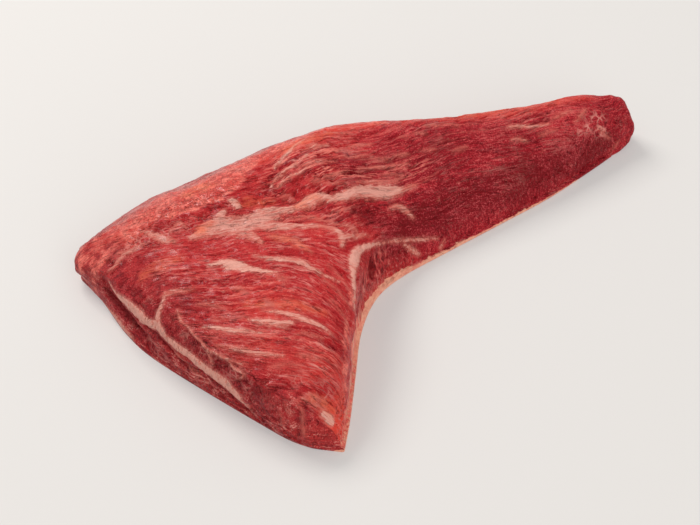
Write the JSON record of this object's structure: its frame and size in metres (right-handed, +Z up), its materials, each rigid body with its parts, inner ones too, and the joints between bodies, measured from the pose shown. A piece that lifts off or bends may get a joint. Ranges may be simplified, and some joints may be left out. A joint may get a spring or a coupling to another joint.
{
  "type": "raw beef tri-tip",
  "caption": "Whole raw tri-tip of beef, a broad lobe with a cut face that narrows round a hollow inner edge into a long tail, lying on its fat side.",
  "frame": {"origin": "middle of the bounding box, on the plane that the cut rests on", "axes": "+X from the lobe's thin corner to the tail (longest), +Y towards the rounded back, +Z up (shortest)"},
  "size_m": [0.32, 0.25, 0.0526],
  "materials": {
    "raw_beef": "moist, fine-grained raw beef with fat marbling"
  },
  "bodies": {
    "root": {"tri_tip": "raw_beef"}
  },
  "joints": []
}
